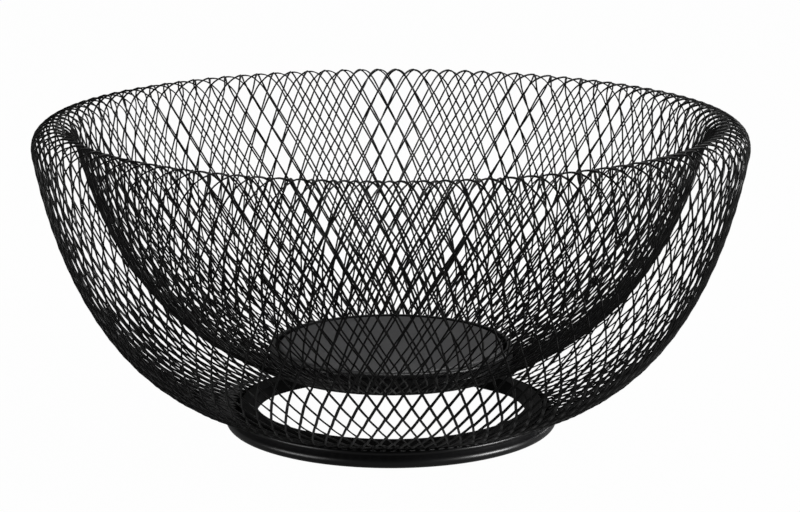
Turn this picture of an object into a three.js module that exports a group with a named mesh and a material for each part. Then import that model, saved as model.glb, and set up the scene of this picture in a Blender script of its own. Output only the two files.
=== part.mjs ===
// Wire bread basket: one sleeve of black diamond net that rises from a foot ring, rolls over the rim
// and comes down inside as the bowl, where it ends round a raised floor plate. Millimetres, +Z up.
import * as THREE from 'three';

// Driving dimensions of the whole basket
const basketDiameter = 300;
const basketHeight = 132;
const rimRollWidth = 19.8;
const footDiameter = 142;
const floorDiameter = 102;
const floorHeight = 34.2;

// The net: its sheet, its strands and how its cells are shared out
const netThickness = 1;
const strandWidth = 1.5;
const knuckleLength = 2;
const hemLength = 4.5;
const cellsAround = 32;
const outerRows = 6;
const rimRows = 2;
const innerRows = 2;
const floorRows = 3;
const rimSteps = 4;
const wallSteps = 1;

// How the walls leave the two rings and meet the roll, in degrees from level, and how full they are
const outerFootAngle = 12;
const outerRimAngle = 80;
const innerFloorAngle = 25;
const innerRimAngle = 76;
const outerFullnessShares = [0.41, 0.31];
const innerFullnessShares = [0.38, 0.42];

// The pressed rings and the plate
const sheetThickness = 1;
const collarWidth = 6;
const collarHeight = 9.1;
const collarShoulder = 2;
const footBandHeight = 7.2;
const floorBandHeight = 8.8;
const bigBeadRadius = 2.2;
const smallBeadRadius = 1.3;
const beadPitch = 3.6;
const neckAngles = [60, -30];
const grooveAngle = 60;
const bandWall = 1.2;
const plateEdgeRadius = 1.6;
const plateRimHeight = 8;
const skirtDip = 2.4;
const beadSteps = 3;
const cornerSteps = 2;

// What one piece leaves to the next
const seatGap = 0.3;
const slotWidth = netThickness + 2 * seatGap;

const degree = Math.PI / 180;
const finishes = {
  net: new THREE.MeshStandardMaterial({ color: 0x2b2b2c, roughness: 0.5, metalness: 0.25 }),
  ring: new THREE.MeshStandardMaterial({ color: 0x1b1b1c, roughness: 0.32, metalness: 0.35 }),
  plate: new THREE.MeshStandardMaterial({ color: 0x343435, roughness: 0.55, metalness: 0.25 }),
};

// Radii and heights that the pieces share
const slotRadius = footDiameter / 2 - 2 * bigBeadRadius;
const collarRadius = slotRadius - slotWidth;
const rollRadius = (rimRollWidth - netThickness) / 2;
const rollCentre = new THREE.Vector2(
  basketDiameter / 2 - netThickness / 2 - rollRadius,
  basketHeight - netThickness / 2 - rollRadius,
);
const floorBandRadius = floorDiameter / 2 - bandWall;
const plateRadius = floorBandRadius - slotWidth;
const floorBandBottom = floorHeight - floorBandHeight;

// Points along an arc about (radius, height), from one angle to another in degrees
function arc(radius, height, size, from, to, steps) {
  const points = [];
  for (let step = 0; step <= steps; step += 1) {
    const angle = (from + ((to - from) * step) / steps) * degree;
    points.push(new THREE.Vector2(radius + size * Math.cos(angle), height + size * Math.sin(angle)));
  }
  return points;
}

function point(radius, height) {
  return new THREE.Vector2(radius, height);
}

// One wall of the sleeve as a curve between two places, given its end angles and fullness
function wallCurve(start, startAngle, end, endAngle, fullnessShares) {
  const chord = start.distanceTo(end);
  const leave = point(Math.cos(startAngle * degree), Math.sin(startAngle * degree));
  const arrive = point(Math.cos(endAngle * degree), Math.sin(endAngle * degree));
  return new THREE.CubicBezierCurve(
    start,
    start.clone().addScaledVector(leave, chord * fullnessShares[0]),
    end.clone().addScaledVector(arrive, -chord * fullnessShares[1]),
    end,
  );
}

// The section of the sleeve: a hem in the foot's slot, outer wall up, over the roll, inner wall down,
// and a hem turned up into the floor's slot
function sleeveProfile() {
  const rollStart = outerRimAngle - 90;
  const rollEnd = 90 + innerRimAngle;
  const roll = new THREE.EllipseCurve(
    rollCentre.x, rollCentre.y, rollRadius, rollRadius, rollStart * degree, rollEnd * degree, false, 0,
  );
  const footBend = point(slotRadius - slotWidth / 2, footBandHeight + seatGap);
  const floorBend = point(floorBandRadius - slotWidth / 2, floorBandBottom - skirtDip);
  const outer = wallCurve(footBend, outerFootAngle, roll.getPoint(0), outerRimAngle, outerFullnessShares);
  const inner = wallCurve(floorBend, innerFloorAngle, roll.getPoint(1), innerRimAngle, innerFullnessShares);
  const section = new THREE.CurvePath();
  section.add(new THREE.LineCurve(point(footBend.x, footBend.y - hemLength), footBend));
  section.add(outer);
  section.add(roll);
  section.add(new THREE.CubicBezierCurve(inner.v3, inner.v2, inner.v1, inner.v0));
  section.add(new THREE.LineCurve(floorBend, point(floorBend.x, floorBend.y + hemLength)));
  return section;
}

const profile = sleeveProfile();
const sleeveLength = profile.getLength();
const rowCount = outerRows + rimRows + innerRows + floorRows;
const rowHeight = sleeveLength / rowCount;
const cellTurn = (2 * Math.PI) / cellsAround;

// Where a row of crossings starts: every second row stands half a cell on
function rowTurn(row) {
  return ((row % 2) * cellTurn) / 2;
}

// A turned piece with a corner at each crossing of the row that it holds: the outline runs
// anticlockwise, radius across and height up
function turned(outline, row) {
  const start = Math.PI / 2 + rowTurn(row);
  return new THREE.LatheGeometry(outline, cellsAround, start).rotateX(Math.PI / 2);
}

// A place on the sleeve: distance along the section, turn about the axis, offset towards the outside
function sleevePoint(distance, turn, offset) {
  const share = distance / sleeveLength;
  const place = profile.getPoint(share);
  const along = profile.getTangent(share);
  const radius = place.x + along.y * offset;
  const height = place.y - along.x * offset;
  return new THREE.Vector3(radius * Math.cos(turn), radius * Math.sin(turn), height);
}

// How far a hole's side corners and tips stay from the crossings that they point at
function holeInsets(distance) {
  const radius = profile.getPoint(distance / sleeveLength).x;
  const halfCell = (cellTurn / 2) * radius;
  const strandLength = Math.hypot(halfCell, rowHeight);
  const side = ((strandWidth / 2) * strandLength) / rowHeight;
  const tip = ((strandWidth / 2) * strandLength) / halfCell;
  return { sideTurn: side / radius, tip: tip + knuckleLength / 2 };
}

// Net between two rows of crossings, closed on itself round the axis. Where it has a hem, the sheet
// bends at the hem's length from its end, and the first full holes start there.
function netGeometry(firstRow, lastRow, steps, hasFirstHem, hasLastHem) {
  const vertices = [];
  const triangles = [];
  const half = netThickness / 2;

  function addPoint(distance, turn) {
    const outside = sleevePoint(distance, turn, half);
    const inside = sleevePoint(distance, turn, -half);
    vertices.push(outside.x, outside.y, outside.z, inside.x, inside.y, inside.z);
    return vertices.length / 3 - 2;
  }

  function isHem(row) {
    return (row === firstRow && hasFirstHem) || (row === lastRow && hasLastHem);
  }

  // One side of a hole: points from its side corner to its tip, with the bend of a hem among them
  function holeSide(corner, cornerDistance, tip, tipDistance, turn, sideTurn, bendDistance) {
    const side = [corner];
    const span = tipDistance - cornerDistance;
    const start = (bendDistance - cornerDistance) / span;
    for (let step = start > 0 ? 0 : 1; step < steps; step += 1) {
      const share = start + ((1 - start) * step) / steps;
      side.push(addPoint(cornerDistance + span * share, turn + sideTurn * (1 - share)));
    }
    side.push(tip);
    return side;
  }

  // A hole, or the half of one at the end of the net, as two sides up and two sides down
  function addHole(row, column) {
    const trim = (row === firstRow ? seatGap / 2 : 0) - (row === lastRow ? seatGap / 2 : 0);
    const centre = row * rowHeight + trim;
    const turn = rowTurn(row) + (column + 0.5) * cellTurn;
    const sideTurn = cellTurn / 2 - holeInsets(row * rowHeight).sideTurn;
    const hole = { left: addPoint(centre, turn - sideTurn), right: addPoint(centre, turn + sideTurn) };
    for (const [name, way, end] of [['up', 1, lastRow], ['down', -1, firstRow]]) {
      if (row === end) {
        continue;
      }
      const nextRow = row + way;
      const tipInset = isHem(nextRow) ? hemLength : holeInsets(nextRow * rowHeight).tip;
      const tipDistance = nextRow * rowHeight - way * tipInset;
      const tip = addPoint(tipDistance, turn);
      const bend = isHem(row) ? row * rowHeight + way * hemLength : centre;
      hole[name] = {
        tip,
        left: holeSide(hole.left, centre, tip, tipDistance, turn, -sideTurn, bend),
        right: holeSide(hole.right, centre, tip, tipDistance, turn, sideTurn, bend),
      };
    }
    return hole;
  }

  const rows = [];
  for (let row = firstRow; row <= lastRow; row += 1) {
    const holes = [];
    for (let column = 0; column < cellsAround; column += 1) {
      holes.push(addHole(row, column));
    }
    rows.push(holes);
  }

  function holeAt(row, column) {
    return rows[row - firstRow][(column + cellsAround) % cellsAround];
  }

  // A face of the sheet, seen anticlockwise from outside, with its twin on the inside
  function addFace(...corners) {
    for (let corner = 1; corner < corners.length - 1; corner += 1) {
      const [a, b, c] = [corners[0], corners[corner], corners[corner + 1]];
      triangles.push(a, b, c, a + 1, c + 1, b + 1);
    }
  }

  // The cut edge of the sheet from one point to the next, with the metal on the left hand
  function addEdge(from, to) {
    triangles.push(from, from + 1, to + 1, from, to + 1, to);
  }

  function addRun(points) {
    for (let index = 0; index < points.length - 1; index += 1) {
      addEdge(points[index], points[index + 1]);
    }
  }

  function addStrand(leftSide, rightSide) {
    for (let index = 0; index < leftSide.length - 1; index += 1) {
      addFace(leftSide[index], rightSide[index], rightSide[index + 1], leftSide[index + 1]);
    }
  }

  for (let row = firstRow; row <= lastRow; row += 1) {
    const shift = row % 2;
    const lowerBend = isHem(row) && row === firstRow ? 1 : 0;
    const upperBend = isHem(row + 1) ? 1 : 0;
    for (let column = 0; column < cellsAround; column += 1) {
      const hole = holeAt(row, column);
      const before = holeAt(row, column - 1);
      if (hole.up) {
        addRun(hole.up.left);
        addRun([...hole.up.right].reverse());
        const upperLeft = holeAt(row + 1, column - 1 + shift).down;
        const upperRight = holeAt(row + 1, column + shift).down;
        addStrand([...upperLeft.right].slice(upperBend).reverse(), hole.up.left.slice(lowerBend));
        addStrand(hole.up.right.slice(lowerBend), [...upperRight.left].slice(upperBend).reverse());
      }
      if (hole.down) {
        addRun(hole.down.right);
        addRun([...hole.down.left].reverse());
      }
      if (row === firstRow) {
        const above = holeAt(row + 1, column - 1 + shift).down.tip;
        const bends = lowerBend ? [hole.up.left[1], above, before.up.right[1]] : [above];
        addFace(before.right, hole.left, ...bends);
        addEdge(before.right, hole.left);
      } else if (row === lastRow) {
        const below = holeAt(row - 1, column - 1 + shift).up.tip;
        const bends = isHem(row) ? [before.down.right[1], below, hole.down.left[1]] : [below];
        addFace(hole.left, before.right, ...bends);
        addEdge(hole.left, before.right);
      } else {
        const above = holeAt(row + 1, column - 1 + shift).down.tip;
        const below = holeAt(row - 1, column - 1 + shift).up.tip;
        addFace(below, hole.left, above, before.right);
      }
    }
  }

  const geometry = new THREE.BufferGeometry();
  geometry.setAttribute('position', new THREE.Float32BufferAttribute(vertices, 3));
  geometry.setIndex(triangles);
  geometry.computeVertexNormals();
  return geometry;
}

// Foot collar: a channel of sheet, open below, whose outer wall backs the end of the net
function footCollar() {
  const hole = collarRadius - collarWidth;
  const shoulder = point(collarRadius - collarShoulder, collarHeight - collarShoulder);
  const inner = collarShoulder - sheetThickness;
  return turned([
    point(hole, 0),
    point(hole + sheetThickness, 0),
    point(hole + sheetThickness, collarHeight - sheetThickness),
    ...arc(shoulder.x, shoulder.y, inner, 90, 0, cornerSteps),
    point(collarRadius - sheetThickness, 0),
    point(collarRadius, 0),
    ...arc(shoulder.x, shoulder.y, collarShoulder, 0, 90, cornerSteps),
    point(hole, collarHeight),
    point(hole, 0),
  ], 0);
}

// Foot band: the clamp round the end of the net, a big bead on the table and a small one above it
function footBand() {
  const bigCentre = footDiameter / 2 - bigBeadRadius;
  const smallCentre = slotRadius + smallBeadRadius;
  const smallHeight = footBandHeight - smallBeadRadius;
  return turned([
    point(slotRadius, 0),
    ...arc(bigCentre, bigBeadRadius, bigBeadRadius, -90, neckAngles[0], beadSteps),
    ...arc(smallCentre, smallHeight, smallBeadRadius, neckAngles[1], 180, beadSteps),
    point(slotRadius, 0),
  ], 0);
}

// Floor plate: a shallow pressed pan, top up, whose rim turns down inside the floor band
function floorPlate() {
  const underside = floorHeight - sheetThickness;
  const rimBottom = floorHeight - plateRimHeight;
  const edge = point(plateRadius - plateEdgeRadius, floorHeight - plateEdgeRadius);
  return turned([
    point(0, underside),
    ...arc(edge.x, edge.y, plateEdgeRadius - sheetThickness, 90, 0, 1),
    point(plateRadius - sheetThickness, rimBottom),
    point(plateRadius, rimBottom),
    ...arc(edge.x, edge.y, plateEdgeRadius, 0, 90, cornerSteps),
    point(0, floorHeight),
  ], rowCount);
}

// Floor band: the same clamp turned over, with two small beads at the top and a plain skirt below
function floorBand() {
  const outside = floorDiameter / 2;
  const beadCentre = outside - smallBeadRadius * Math.cos(grooveAngle * degree);
  const upperBead = floorHeight - smallBeadRadius;
  const lowerBead = upperBead - beadPitch;
  return turned([
    point(floorBandRadius, floorBandBottom),
    point(outside, floorBandBottom),
    ...arc(beadCentre, lowerBead, smallBeadRadius, -grooveAngle, grooveAngle, beadSteps),
    ...arc(beadCentre, upperBead, smallBeadRadius, -grooveAngle, 90, beadSteps),
    point(floorBandRadius, floorHeight),
    point(floorBandRadius, floorBandBottom),
  ], rowCount);
}

const basket = new THREE.Group();

function addPiece(name, geometry, material) {
  const mesh = new THREE.Mesh(geometry, material);
  mesh.name = name;
  basket.add(mesh);
}

const rimStart = outerRows;
const rimEnd = rimStart + rimRows;
const innerEnd = rimEnd + innerRows;
addPiece('outer_net', netGeometry(0, rimStart, wallSteps, true, false), finishes.net);
addPiece('rim_net', netGeometry(rimStart, rimEnd, rimSteps, false, false), finishes.net);
addPiece('inner_net', netGeometry(rimEnd, innerEnd, wallSteps, false, false), finishes.net);
addPiece('floor_net', netGeometry(innerEnd, rowCount, wallSteps, false, true), finishes.net);
addPiece('foot_collar', footCollar(), finishes.ring);
addPiece('foot_band', footBand(), finishes.ring);
addPiece('floor_plate', floorPlate(), finishes.plate);
addPiece('floor_band', floorBand(), finishes.ring);

export default basket;
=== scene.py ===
import bisect
import math

import bpy
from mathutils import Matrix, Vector, geometry, noise


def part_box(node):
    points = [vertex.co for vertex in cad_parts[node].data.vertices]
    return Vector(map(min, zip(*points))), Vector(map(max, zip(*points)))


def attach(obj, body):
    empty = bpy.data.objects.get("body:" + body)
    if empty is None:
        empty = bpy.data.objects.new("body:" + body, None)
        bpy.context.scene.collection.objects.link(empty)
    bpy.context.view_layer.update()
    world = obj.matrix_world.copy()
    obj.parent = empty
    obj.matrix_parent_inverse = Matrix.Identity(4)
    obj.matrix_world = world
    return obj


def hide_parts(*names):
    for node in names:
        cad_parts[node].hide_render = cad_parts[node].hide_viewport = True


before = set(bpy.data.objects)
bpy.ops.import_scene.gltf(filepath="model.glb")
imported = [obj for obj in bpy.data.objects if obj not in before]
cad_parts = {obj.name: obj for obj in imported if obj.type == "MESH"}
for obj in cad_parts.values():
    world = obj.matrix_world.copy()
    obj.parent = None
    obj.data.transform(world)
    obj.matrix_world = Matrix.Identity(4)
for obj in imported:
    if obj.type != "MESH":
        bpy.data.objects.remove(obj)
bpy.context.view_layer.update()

mm = 0.001               # the frame is in metres, this script's sizes are in millimetres


def toLinear(hexColour):
    channels = [int(hexColour[i:i + 2], 16) / 255 for i in (1, 3, 5)]
    return [c / 12.92 if c <= 0.04045 else ((c + 0.055) / 1.055) ** 2.4 for c in channels] + [1]


def addNode(tree, kind, settings=None, inputs=None, links=None):
    # one node, with its settings, its values and what is linked to it
    node = tree.nodes.new(kind)
    for key, value in (settings or {}).items():
        setattr(node, key, value)
    for key, value in (inputs or {}).items():
        node.inputs[key].default_value = value
    for key, socket in (links or {}).items():
        tree.links.new(socket, node.inputs[key])
    return node


# Operators act on what is selected, so every piece starts with nothing selected
def startPiece():
    if bpy.context.object and bpy.context.object.mode != "OBJECT":
        bpy.ops.object.mode_set(mode="OBJECT")
    bpy.ops.object.select_all(action="DESELECT")


def selectWhere(kind, test):
    # selects the vertices, edges or faces of the active mesh that pass a test, and stays in edit mode
    mesh = bpy.context.object.data
    bpy.ops.object.mode_set(mode="EDIT")
    bpy.ops.mesh.select_mode(type=kind)
    bpy.ops.mesh.select_all(action="DESELECT")
    bpy.ops.object.mode_set(mode="OBJECT")
    for item in {"VERT": mesh.vertices, "EDGE": mesh.edges, "FACE": mesh.polygons}[kind]:
        item.select = test(item)
    bpy.ops.object.mode_set(mode="EDIT")


def turnOutline(name, outline, corners, turn=0):
    # a circle at the outline's first point, extruded from point to point, as on a lathe
    startPiece()
    radius, height = outline[0]
    bpy.ops.mesh.primitive_circle_add(
        vertices=corners, radius=radius * mm, location=(0, 0, height * mm), rotation=(0, 0, turn))
    piece = bpy.context.object
    piece.name = name
    bpy.ops.object.transform_apply(location=True, rotation=True, scale=True)
    bpy.ops.object.mode_set(mode="EDIT")
    bpy.ops.mesh.select_all(action="SELECT")
    for nextRadius, nextHeight in outline[1:]:
        grow = nextRadius / radius
        rise = (0, 0, (nextHeight - height) * mm)
        bpy.ops.mesh.extrude_region_move(TRANSFORM_OT_translate={"value": rise})
        bpy.ops.transform.resize(value=(grow, grow, 1), center_override=(0, 0, 0))
        radius, height = nextRadius, nextHeight
    bpy.ops.object.mode_set(mode="OBJECT")
    return piece


def closeRing(piece):
    # the outline ends where it began: its first and last circles become one
    bpy.ops.object.mode_set(mode="EDIT")
    bpy.ops.mesh.select_all(action="SELECT")
    bpy.ops.mesh.remove_doubles(threshold=sheet["weld"] * mm)
    bpy.ops.mesh.normals_make_consistent(inside=False)
    bpy.ops.object.mode_set(mode="OBJECT")
    bpy.ops.object.shade_smooth_by_angle(angle=math.radians(sheet["smoothAngle"]))
    return piece


def arcPoints(centre, size, start, end, steps):
    points = []
    for step in range(steps + 1):
        angle = math.radians(start + (end - start) * step / steps)
        points.append((centre[0] + size * math.cos(angle), centre[1] + size * math.sin(angle)))
    return points


def finishPiece(piece, slotName, material, *nodes):
    piece.data.materials.clear()
    piece.data.materials.append(material)
    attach(piece, "root")
    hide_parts(*nodes)
    return piece


# Sizes that the frame holds, in millimetres
def nodeBox(name):
    low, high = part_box(name)
    return low / mm, high / mm


footBandHigh = nodeBox("foot_band")[1]
collarHigh = nodeBox("foot_collar")[1]
plateHigh = nodeBox("floor_plate")[1]
floorBandLow, floorBandHigh = nodeBox("floor_band")
rimLow, rimHigh = nodeBox("rim_net")

sheet = {
    "thickness": 1.0,          # of the pressed rings and the plate
    "netSlot": 1.6,            # between a ring and its band, where the net's hem stands
    "corners": 192,            # round a ring
    "weld": 0.005,
    "smoothAngle": 35,
}
slotRadius = collarHigh.x + sheet["netSlot"]
floorBandRadius = plateHigh.x + sheet["netSlot"]

# Materials

def powderCoat(name, finish):
    # Powder coat is a baked polyester paint over steel: an even black, satin from its fine orange peel,
    # with a slightly paler, rougher bloom here and there
    material = bpy.data.materials.new(name)
    material.use_nodes = True
    tree = material.node_tree
    shader = tree.nodes["Principled BSDF"]
    place = addNode(tree, "ShaderNodeTexCoord").outputs["Object"]

    def grain(size, detail, roughness):
        return addNode(tree, "ShaderNodeTexNoise", links={"Vector": place}, inputs={
            "Scale": 1 / (size * mm), "Detail": detail, "Roughness": roughness}).outputs["Fac"]

    bloom = grain(finish["bloomSize"], 3, 0.6)
    peel = grain(finish["peelSize"], 2, 0.5)
    colour = addNode(tree, "ShaderNodeMix", {"data_type": "RGBA"}, links={"Factor": bloom})
    colour.inputs["A"].default_value = toLinear(finish["dark"])
    colour.inputs["B"].default_value = toLinear(finish["pale"])
    rough = addNode(tree, "ShaderNodeMapRange", links={"Value": bloom}, inputs={
        "From Min": 0.3, "From Max": 0.7,           # the noise seldom leaves these
        "To Min": finish["smooth"], "To Max": finish["rough"]})
    bump = addNode(tree, "ShaderNodeBump", links={"Height": peel}, inputs={
        "Strength": finish["peel"], "Distance": finish["peelDepth"] * mm})
    tree.links.new(colour.outputs["Result"], shader.inputs["Base Color"])
    tree.links.new(rough.outputs["Result"], shader.inputs["Roughness"])
    tree.links.new(bump.outputs["Normal"], shader.inputs["Normal"])
    shader.inputs["IOR"].default_value = finish["ior"]
    return material


# sizes and depth in millimetres; the index is below real paint's, as the photograph's blacks are very deep
netFinish = {"dark": "#060606", "pale": "#0c0c0c", "bloomSize": 4.0, "peelSize": 0.5, "peel": 0.35,
             "peelDepth": 0.05, "smooth": 0.26, "rough": 0.38, "ior": 1.17}
ringFinish = {"dark": "#060607", "pale": "#0b0b0c", "bloomSize": 14.0, "peelSize": 1.1, "peel": 0.05,
              "peelDepth": 0.05, "smooth": 0.30, "rough": 0.36, "ior": 1.33}
# painted shade: the collar's coat is a darker, duller copy of the bands' coat, for the shadow inside the
# foot
collarShadeFinish = {"dark": "#050505", "pale": "#090909", "bloomSize": 14.0, "peelSize": 1.1, "peel": 0.2,
                "peelDepth": 0.05, "smooth": 0.40, "rough": 0.50, "ior": 1.12}
# painted sheen: the plate's black coat is coloured paler grey for the light it reflects from behind the
# basket
plateSheenFinish = {"dark": "#242425", "pale": "#2f2f30", "bloomSize": 22.0, "peelSize": 0.9, "peel": 0.35,
               "peelDepth": 0.05, "smooth": 0.40, "rough": 0.50, "ior": 1.42}
netCoat = powderCoat("satinBlackPowderCoatOnNet", netFinish)
ringCoat = powderCoat("semiGlossBlackPowderCoatOnBands", ringFinish)
collarShadeCoat = powderCoat("blackPowderCoatOnCollarWithPaintedShade", collarShadeFinish)
plateSheenCoat = powderCoat("satinBlackPowderCoatOnPlateWithPaintedSheen", plateSheenFinish)
print("materials made")

# The net

net = {
    "cellsAround": 106,
    # knots: millimetres along the sleeve, and the value there. Strands run from crossing to crossing, and
    # are of uneven length and width because the net was stretched unevenly when it was formed
    "strandLengths": ((0, 8.95), (60, 9.05), (100, 9.12), (125, 8.84), (160, 8.57), (190, 8.78),
                      (240, 8.73), (320, 8.53)),
    "strandWidths": ((0, 0.70), (40, 0.66), (55, 1.00), (68, 1.00), (84, 0.52), (110, 0.51), (150, 0.53),
                     (200, 0.48), (320, 0.5)),
    # how far a hole's two side corners are pushed out of the sheet, which turns the strands between them
    "pushes": ((0, 0.45), (56, 0.55), (84, 0.4), (320, 0.4)),
    "rimPush": 0.4,            # room kept for the push where the sleeve is highest and widest
    "hemPush": 0.25,           # share of the push left inside the rings
    "halfStrand": 4,           # a strand's length is looked up near its middle
    "firstCrossing": 5.44,     # from the hem's end, just above the foot band
    "hem": 4.5,                # stands in the slot of each ring
    "hemStart": -0.5,          # where the crossings below the first row lie, hidden in the foot
    "endSlack": 1,             # how far past the hem's end a last row may fall before it is drawn in
    "thickness": 0.50,
    "crossingAt": 0.25,        # where a crossing of the even rows stands, in cells from the front
    "rowTolerance": 0.5,       # tells a row of diamonds by the height of their middles
    "longStrand": 5,           # edges longer than this are halved
    "bendStrand": 1.9,         # and longer than this in the hems and the rim, which bend within a cell
    "edgeRound": 0.11,
    "smoothAngle": 50,
    "unevenness": 0.5,         # a hand-drawn net isn't quite regular
    "unevenSize": 24.0,
    "unevenFrom": 15,          # the unevenness grows over this length from each hem
    "noiseShift": (7, 3, 5),
    "rimRoll": 19.8,           # across the rolled rim, outside to inside
    # angles where each wall leaves its ring and meets the rim, in degrees, and how far its curve keeps to
    # them, as shares of its chord
    "outerAngles": (12, 80),
    "innerAngles": (22, 76),
    "outerShares": (0.41, 0.31),
    "innerShares": (0.38, 0.42),
    "footLift": 0.3,           # the fold above the foot band
    "floorDip": 0.35,          # the fold below the floor band
    "rollSteps": 60,
    "wallSteps": 120,
}
rollSpace = net["rimPush"] + net["thickness"] / 2
rollRadius = net["rimRoll"] / 2 - rollSpace


def wallPoints(start, end, angles, shares):
    chord = math.dist(start, end)
    first, last = Vector((*start, 0)), Vector((*end, 0))
    leave, arrive = (
        Vector((math.cos(math.radians(angle)), math.sin(math.radians(angle)), 0)) for angle in angles)
    curve = geometry.interpolate_bezier(
        first, first + leave * chord * shares[0], last - arrive * chord * shares[1], last, net["wallSteps"])
    return [(p.x, p.y) for p in curve]


def sleeveSection():
    # hem in the foot, outer wall up, over the rolled rim, inner wall down, hem in the floor band
    footBend = (collarHigh.x + sheet["netSlot"] / 2, footBandHigh.z + net["footLift"])
    floorBend = (plateHigh.x + sheet["netSlot"] / 2, floorBandLow.z - net["floorDip"])
    rollCentre = (rimHigh.x - rollSpace - rollRadius, rimHigh.z - rollSpace - rollRadius)
    rollStart, rollEnd = net["outerAngles"][1] - 90, net["innerAngles"][1] + 90
    roll = arcPoints(rollCentre, rollRadius, rollStart, rollEnd, net["rollSteps"])
    outer = wallPoints(footBend, roll[0], net["outerAngles"], net["outerShares"])
    inner = wallPoints(floorBend, roll[-1], net["innerAngles"], net["innerShares"])
    footEnd = (footBend[0], footBend[1] - net["hem"])
    floorEnd = (floorBend[0], floorBend[1] + net["hem"])
    return [footEnd] + outer + roll[1:] + inner[::-1][1:] + [floorEnd]


section = sleeveSection()
sectionLengths = [0.0]
for before, after in zip(section, section[1:]):
    sectionLengths.append(sectionLengths[-1] + math.dist(before, after))
sleeveLength = sectionLengths[-1]


def onSection(length):
    # radius and height at a length along the section
    if length <= 0:
        return section[0][0], section[0][1] + length
    low, high = 0, len(section) - 1
    while high - low > 1:
        middle = (low + high) // 2
        if sectionLengths[middle] <= length:
            low = middle
        else:
            high = middle
    span = sectionLengths[high] - sectionLengths[low]
    share = min((length - sectionLengths[low]) / span, 1)
    return tuple(a + (b - a) * share for a, b in zip(section[low], section[high]))


def alongSleeve(knots, length):
    # the value at a length along the sleeve, between its two nearest knots
    for (start, first), (end, last) in zip(knots, knots[1:]):
        if length < end:
            return first + (last - first) * max(0, (length - start) / (end - start))
    return knots[-1][1]


def crossingRows():
    # where the rows of crossings lie: they close up as the cells widen
    halfCellShare = math.pi / net["cellsAround"]

    def nextRow(length):
        strand = alongSleeve(net["strandLengths"], length + net["halfStrand"])
        rise = strand
        for _ in range(3):                  # the radius halfway up depends on the rise, and settles soon
            radius = onSection(length + rise / 2)[0]
            rise = math.sqrt(strand ** 2 - (radius * halfCellShare) ** 2)
        return length + rise

    rows = [net["firstCrossing"]]
    while nextRow(rows[-1]) < sleeveLength + net["endSlack"]:
        rows.append(nextRow(rows[-1]))
    crest = max(rows, key=lambda length: onSection(length)[1])
    stretch = (sleeveLength - crest) / (rows[-1] - crest)   # the last row lands on the hem's end
    rows = [row if row <= crest else crest + (row - crest) * stretch for row in rows]
    return [net["hemStart"]] + rows


def stretchedOut(rows):
    # the sleeve stretched out straight: true radii, and heights that keep each band's true width
    outline, height = [], 0.0
    for row, length in enumerate(rows):
        radius = onSection(length)[0]
        if row:
            height += math.sqrt((length - rows[row - 1]) ** 2 - (radius - outline[-1][0]) ** 2)
        outline.append((radius, height))
    return outline


def holeMiddles(heights):
    # the middle of each row of diamonds, the half ones at both ends too
    middles = [(below + 2 * at + above) / 4 for below, at, above in zip(heights, heights[1:], heights[2:])]
    return [(2 * heights[0] + heights[1]) / 3] + middles + [(2 * heights[-1] + heights[-2]) / 3]


def cutHoles(sleeve, rows, heights):
    # a row of diamonds at a time, the half ones at both ends first
    pushedOut = sleeve.vertex_groups.new(name="pushedOut")
    pushedIn = sleeve.vertex_groups.new(name="pushedIn")
    middles = holeMiddles(heights)
    lastRow = len(rows) - 1
    for row in [0, lastRow, *range(1, lastRow)]:
        width = alongSleeve(net["strandWidths"], rows[row])
        rowsToEnd = min(row, lastRow - row)
        push = alongSleeve(net["pushes"], rows[row]) * min(1, net["hemPush"] * (1 + 2 * rowsToEnd))
        selectWhere("FACE", lambda face: abs(face.center.z / mm - middles[row]) < net["rowTolerance"])
        bpy.ops.mesh.inset(thickness=width / 2 * mm, use_individual=True)
        bpy.ops.object.mode_set(mode="OBJECT")
        vertices = sleeve.data.vertices
        for hole in sleeve.data.polygons:
            if hole.select:
                hole.material_index = 1
                middle = math.atan2(hole.center.y, hole.center.x)
                sides = {}
                for index in hole.vertices:
                    side = math.atan2(vertices[index].co.y, vertices[index].co.x) - middle
                    sides[(side + math.pi) % (2 * math.pi)] = index
                pushedOut.add([sides[min(sides)]], push, "REPLACE")      # the weights are millimetres
                pushedIn.add([sides[max(sides)]], push, "REPLACE")
    selectWhere("FACE", lambda face: face.material_index == 1)
    bpy.ops.mesh.delete(type="ONLY_FACE")
    bpy.ops.object.mode_set(mode="OBJECT")


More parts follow.
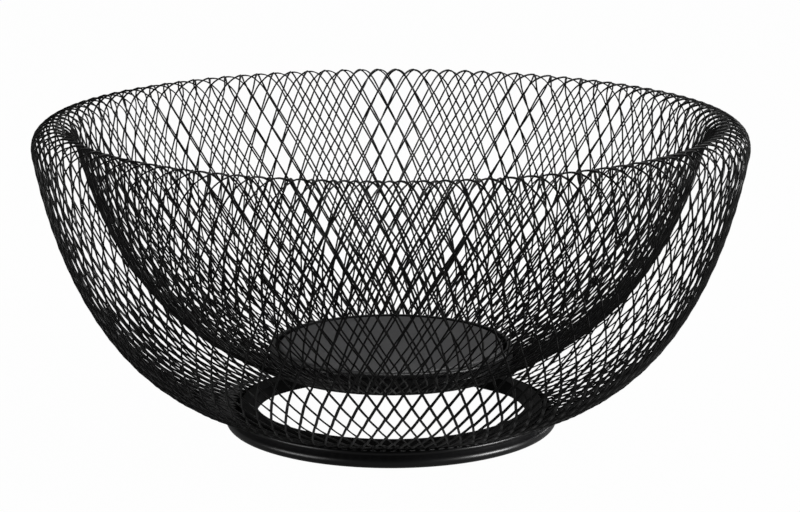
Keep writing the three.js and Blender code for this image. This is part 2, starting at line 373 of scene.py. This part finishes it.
def makeNet():
    rows = crossingRows()
    outline = stretchedOut(rows)
    heights = [height for _, height in outline]
    rimRows = [height for height, length in zip(heights, rows) if onSection(length)[1] > rimLow.z]
    columns = 2 * net["cellsAround"]
    turn = math.radians(-90 + net["crossingAt"] * 360 / net["cellsAround"])
    sleeve = turnOutline("sleeveNet", outline, columns, turn - math.pi / 2)
    for _ in range(3):
        sleeve.data.materials.append(netCoat)           # a slot each for outer wall, rim and inner wall

    def isCrossing(vertex):
        column = round((math.atan2(vertex.co.y, vertex.co.x) - turn) / (2 * math.pi / columns))
        return (column + vertex.index // columns) % 2 == 0

    def isLong(edge, limit, *bands):
        a, b = (sleeve.data.vertices[index].co for index in edge.vertices)
        middle = (a.z + b.z) / 2 / mm
        return (a - b).length > limit * mm and any(under < middle < over for under, over in bands)

    selectWhere("VERT", isCrossing)                     # squares are split from crossing to crossing
    bpy.ops.mesh.vert_connect()
    selectWhere("VERT", lambda vertex: not isCrossing(vertex))
    bpy.ops.mesh.dissolve_verts()                       # and what is left between them are diamonds
    bpy.ops.mesh.select_all(action="SELECT")
    bpy.ops.mesh.flip_normals()
    cutHoles(sleeve, rows, heights)
    low, high = heights[0] - net["endSlack"], heights[-1] + net["endSlack"]
    selectWhere("EDGE", lambda edge: isLong(edge, net["longStrand"], (low, high)))
    bpy.ops.mesh.subdivide(number_cuts=1)
    bends = (low, heights[1]), (rimRows[0], rimRows[-1]), (heights[-2], high)
    selectWhere("EDGE", lambda edge: isLong(edge, net["bendStrand"], *bends))
    bpy.ops.mesh.subdivide(number_cuts=1)
    bpy.ops.object.mode_set(mode="OBJECT")
    for face in sleeve.data.polygons:
        height = face.center.z / mm
        face.material_index = (height > rimRows[0]) + (height > rimRows[-1])
    layOnSection(sleeve, rows, heights)
    return sleeve


def layOnSection(sleeve, rows, heights):
    # rolls the straight sleeve up: each height becomes a length along the section
    for vertex in sleeve.data.vertices:
        height = vertex.co.z / mm
        row = max(0, min(len(rows) - 2, bisect.bisect_right(heights, height) - 1))
        share = (height - heights[row]) / (heights[row + 1] - heights[row])
        length = rows[row] + share * (rows[row + 1] - rows[row])
        angle = math.atan2(vertex.co.y, vertex.co.x)
        radius = onSection(length)[0]
        free = max(0, min(1, min(length, sleeveLength - length) / net["unevenFrom"]))   # the hems are held
        place = Vector((math.cos(angle) * radius, math.sin(angle) * radius, length)) / net["unevenSize"]
        length += free * net["unevenness"] * noise.noise(place)
        angle += free * net["unevenness"] * noise.noise(place + Vector(net["noiseShift"])) / radius
        radius, level = onSection(length)
        vertex.co = Vector((math.cos(angle) * radius, math.sin(angle) * radius, level)) * mm


def thickenNet(sleeve):
    # each strand is turned a little about its own length, as the slit sheet was when it was stretched
    for group, way in (("pushedOut", 1), ("pushedIn", -1)):
        push = sleeve.modifiers.new(group, "DISPLACE")
        push.vertex_group = group
        push.mid_level = 0
        push.strength = way * mm
    wall = sleeve.modifiers.new("wall", "SOLIDIFY")
    wall.thickness = net["thickness"] * mm
    wall.offset = 0
    bevel = sleeve.modifiers.new("edges", "BEVEL")
    bevel.width = net["edgeRound"] * mm
    bevel.segments = 1
    bevel.angle_limit = math.radians(net["smoothAngle"])
    for modifier in list(sleeve.modifiers):
        bpy.ops.object.modifier_apply(modifier=modifier.name)


def partNet(sleeve):
    # parts the sleeve at two rows of crossings, so that no part is too heavy, and closes the cut strands
    bpy.ops.object.mode_set(mode="EDIT")
    bpy.ops.mesh.select_all(action="SELECT")
    bpy.ops.mesh.separate(type="MATERIAL")
    bpy.ops.object.mode_set(mode="OBJECT")
    parts = list(bpy.context.selected_objects)
    for part in parts:
        startPiece()
        part.select_set(True)
        bpy.context.view_layer.objects.active = part
        bpy.ops.object.mode_set(mode="EDIT")
        bpy.ops.mesh.select_all(action="SELECT")
        bpy.ops.mesh.fill_holes(sides=0)
        bpy.ops.object.mode_set(mode="OBJECT")
        bpy.ops.object.shade_smooth_by_angle(angle=math.radians(net["smoothAngle"]))
    return sorted(parts, key=lambda part: min(vertex.co.z for vertex in part.data.vertices))


sleeve = makeNet()
thickenNet(sleeve)
outerWall, innerWall, rolledRim = partNet(sleeve)       # the foot's end is lowest, then the floor's
for wall, name, nodes in (
        (outerWall, "outerWallNet", ["outer_net"]),
        (rolledRim, "rolledRimNet", ["rim_net"]),
        (innerWall, "innerWallNet", ["inner_net", "floor_net"])):
    wall.name = name
    finishPiece(wall, "net", netCoat, *nodes)
    print("net:", name, len(wall.data.polygons), "faces")

# The pressed rings

rings = {
    "collarWidth": 7.0,        # from the hole to the net
    "collarShoulder": 2.0,
    "collarEdge": 0.6,
    "collarLip": 6.0,          # how far the hole's edge turns down
    "bigBead": 2.2,
    "smallBead": 1.3,
    "beadPitch": 3.6,
    "beadSteps": 16,
    "neckAngles": (60, -30),   # where the foot band's two beads meet, seen from each bead's middle
    "grooveAngle": 60,         # the same for the floor band's two equal beads
    "plateEdge": 1.6,
    "plateRim": 8.0,
    "plateRings": 4,           # the plate's disc is parted into so many rings
    "plateRingWidth": 9,
    "flatFace": 0.999,         # a face whose normal is this near to upright is level
}


def makeFootCollar():
    # a channel, open below, that backs the hem of the net; its inner side is only a turned-down lip
    outside, top = collarHigh.x, collarHigh.z
    hole = outside - rings["collarWidth"]
    wall, shoulder = sheet["thickness"], rings["collarShoulder"]
    corner = (outside - shoulder, top - shoulder)
    edge = rings["collarEdge"]
    lip = top - rings["collarLip"]
    outline = [(hole, lip), (hole + wall, lip), (hole + wall, top - wall)]
    outline += arcPoints(corner, shoulder - wall, 90, 0, steps=6)
    outline += [(outside - wall, 0), (outside, 0)]
    outline += arcPoints(corner, shoulder, 0, 90, steps=8)
    outline += arcPoints((hole + edge, top - edge), edge, 90, 180, steps=5)
    return closeRing(turnOutline("footCollarRing", outline + [(hole, lip)], sheet["corners"]))


def makeFootBand():
    # the clamp round the net's hem: the big bead stands on the table
    outside, top = footBandHigh.x, footBandHigh.z
    big, small = rings["bigBead"], rings["smallBead"]
    lower, upper = rings["neckAngles"]
    outline = [(slotRadius, 0)]
    outline += arcPoints((outside - big, big), big, -90, lower, rings["beadSteps"])
    outline += arcPoints((slotRadius + small, top - small), small, upper, 180, rings["beadSteps"])
    return closeRing(turnOutline("footBandRing", outline + [(slotRadius, 0)], sheet["corners"]))


def makeFloorBand():
    # the same clamp round the plate and the net's inner hem, with two small beads above a plain skirt
    outside, bottom, top = floorBandHigh.x, floorBandLow.z, floorBandHigh.z
    small, groove = rings["smallBead"], rings["grooveAngle"]
    centre = outside - small * math.cos(math.radians(groove))
    upper = top - small
    outline = [(floorBandRadius, bottom), (outside, bottom)]
    outline += arcPoints((centre, upper - rings["beadPitch"]), small, -groove, groove, rings["beadSteps"])
    outline += arcPoints((centre, upper), small, -groove, 90, rings["beadSteps"])
    outline += [(floorBandRadius, top), (floorBandRadius, bottom)]
    return closeRing(turnOutline("floorBandRing", outline, sheet["corners"]))


def makeFloorPlate():
    # a shallow pressed pan: a disc whose edge turns down inside the band
    startPiece()
    rim, top = rings["plateRim"], plateHigh.z
    bpy.ops.mesh.primitive_cylinder_add(
        vertices=sheet["corners"], radius=plateHigh.x * mm, depth=rim * mm,
        location=(0, 0, (top - rim / 2) * mm))
    plate = bpy.context.object
    plate.name = "floorPlatePan"
    bpy.ops.object.transform_apply(location=True, rotation=True, scale=True)
    selectWhere("FACE", lambda face: face.normal.z < -rings["flatFace"])
    bpy.ops.mesh.delete(type="FACE")
    nearTop = (top - sheet["thickness"]) * mm
    selectWhere("EDGE", lambda edge: all(plate.data.vertices[i].co.z > nearTop for i in edge.vertices))
    bpy.ops.mesh.bevel(offset=rings["plateEdge"] * mm, segments=6)
    selectWhere("FACE", lambda face: face.normal.z > rings["flatFace"])
    for _ in range(rings["plateRings"]):
        bpy.ops.mesh.inset(thickness=rings["plateRingWidth"] * mm)
    bpy.ops.object.mode_set(mode="OBJECT")
    wall = plate.modifiers.new("wall", "SOLIDIFY")
    wall.thickness = sheet["thickness"] * mm
    wall.offset = -1
    bpy.ops.object.modifier_apply(modifier="wall")
    bpy.ops.object.shade_smooth_by_angle(angle=math.radians(sheet["smoothAngle"]))
    return plate


finishPiece(makeFootCollar(), "ring", collarShadeCoat, "foot_collar")
finishPiece(makeFootBand(), "ring", ringCoat, "foot_band")
finishPiece(makeFloorBand(), "ring", ringCoat, "floor_band")
finishPiece(makeFloorPlate(), "plate", plateSheenCoat, "floor_plate")
print("rings and plate made")

# Camera, light and floor, as in the photograph

# metres, watts and degrees
studio = {
    "cameraAt": (0.0038, -1.026, 0.3023),
    "cameraPitch": -12.64,     # looking along +Y
    "lens": 111.6,
    "sensor": 36,
    "floorSize": 12.0,
    "floorColour": "#868686",  # only for the light that it returns: the plain white below makes it pale
    "floorWhite": 0.985,       # share of plain white in the floor, the rest takes the shadow
    "floorSheen": 0.15,        # the same for what the coats reflect, which lies in the basket's shadow
    "skyLight": 0.2,
    "aimAt": (0, 0, 0.06),
    # softboxes: low ones at the right and the left draw the highlights on the foot band's beads
    "keyAt": (1.36, -0.45, 0.45), "keySize": (0.6, 0.45), "keyPower": 48,
    "fillAt": (-1.33, -0.6, 0.45), "fillSize": (0.8, 0.5), "fillPower": 15,
    "sideAt": (1.0, 0.9, 0.5), "sideSize": (0.4, 0.4), "sidePower": 3,
    "backAt": (0.3, 0.9, 1.6), "backSize": (0.8, 0.8), "backPower": 12,
}


def makeCamera():
    startPiece()
    turn = (math.radians(90 + studio["cameraPitch"]), 0, 0)
    bpy.ops.object.camera_add(location=studio["cameraAt"], rotation=turn)
    camera = bpy.context.object
    camera.data.lens = studio["lens"]
    camera.data.sensor_width = studio["sensor"]
    bpy.context.scene.camera = camera


def makeLight(name):
    startPiece()
    place = Vector(studio[name + "At"])
    turn = (Vector(studio["aimAt"]) - place).to_track_quat("-Z", "Y").to_euler()
    bpy.ops.object.light_add(type="AREA", location=place, rotation=turn)
    light = bpy.context.object
    light.name = name + "Light"
    light.data.shape = "RECTANGLE"
    light.data.size, light.data.size_y = studio[name + "Size"]
    light.data.energy = studio[name + "Power"]


def makeWhite(tree):
    # the share of plain white that each kind of ray sees
    rays = addNode(tree, "ShaderNodeLightPath")
    share = None
    for ray, seen in (("Camera", "floorWhite"), ("Transmission", "floorWhite"), ("Glossy", "floorSheen")):
        add = addNode(tree, "ShaderNodeMath", {"operation": "MULTIPLY_ADD"}, {1: studio[seen], 2: 0},
                      {0: rays.outputs["Is " + ray + " Ray"]})
        if share:
            tree.links.new(share, add.inputs[2])
        share = add.outputs[0]
    return share


def makeFloor():
    startPiece()
    bpy.ops.mesh.primitive_plane_add(size=studio["floorSize"], location=(0, 0, 0))
    floor = bpy.context.object
    floor.name = "paleFloor"
    material = bpy.data.materials.new("paleStudioFloor")
    material.use_nodes = True
    tree = material.node_tree
    diffuse = addNode(tree, "ShaderNodeBsdfDiffuse", inputs={"Color": toLinear(studio["floorColour"])})
    white = addNode(tree, "ShaderNodeEmission", inputs={"Color": (1, 1, 1, 1), "Strength": 1})
    mix = addNode(tree, "ShaderNodeMixShader", links={
        0: makeWhite(tree), 1: diffuse.outputs[0], 2: white.outputs[0]})
    tree.links.new(mix.outputs[0], tree.nodes["Material Output"].inputs["Surface"])
    floor.data.materials.append(material)


def makeWorld():
    world = bpy.data.worlds.new("paleStudio")
    bpy.context.scene.world = world
    world.use_nodes = True
    sky = world.node_tree.nodes["Background"]
    sky.inputs["Color"].default_value = (1, 1, 1, 1)
    sky.inputs["Strength"].default_value = studio["skyLight"]


makeCamera()
for lightName in ("key", "fill", "side", "back"):
    makeLight(lightName)
makeFloor()
makeWorld()
bpy.context.scene.view_settings.view_transform = "Standard"
print("camera, light and floor set")
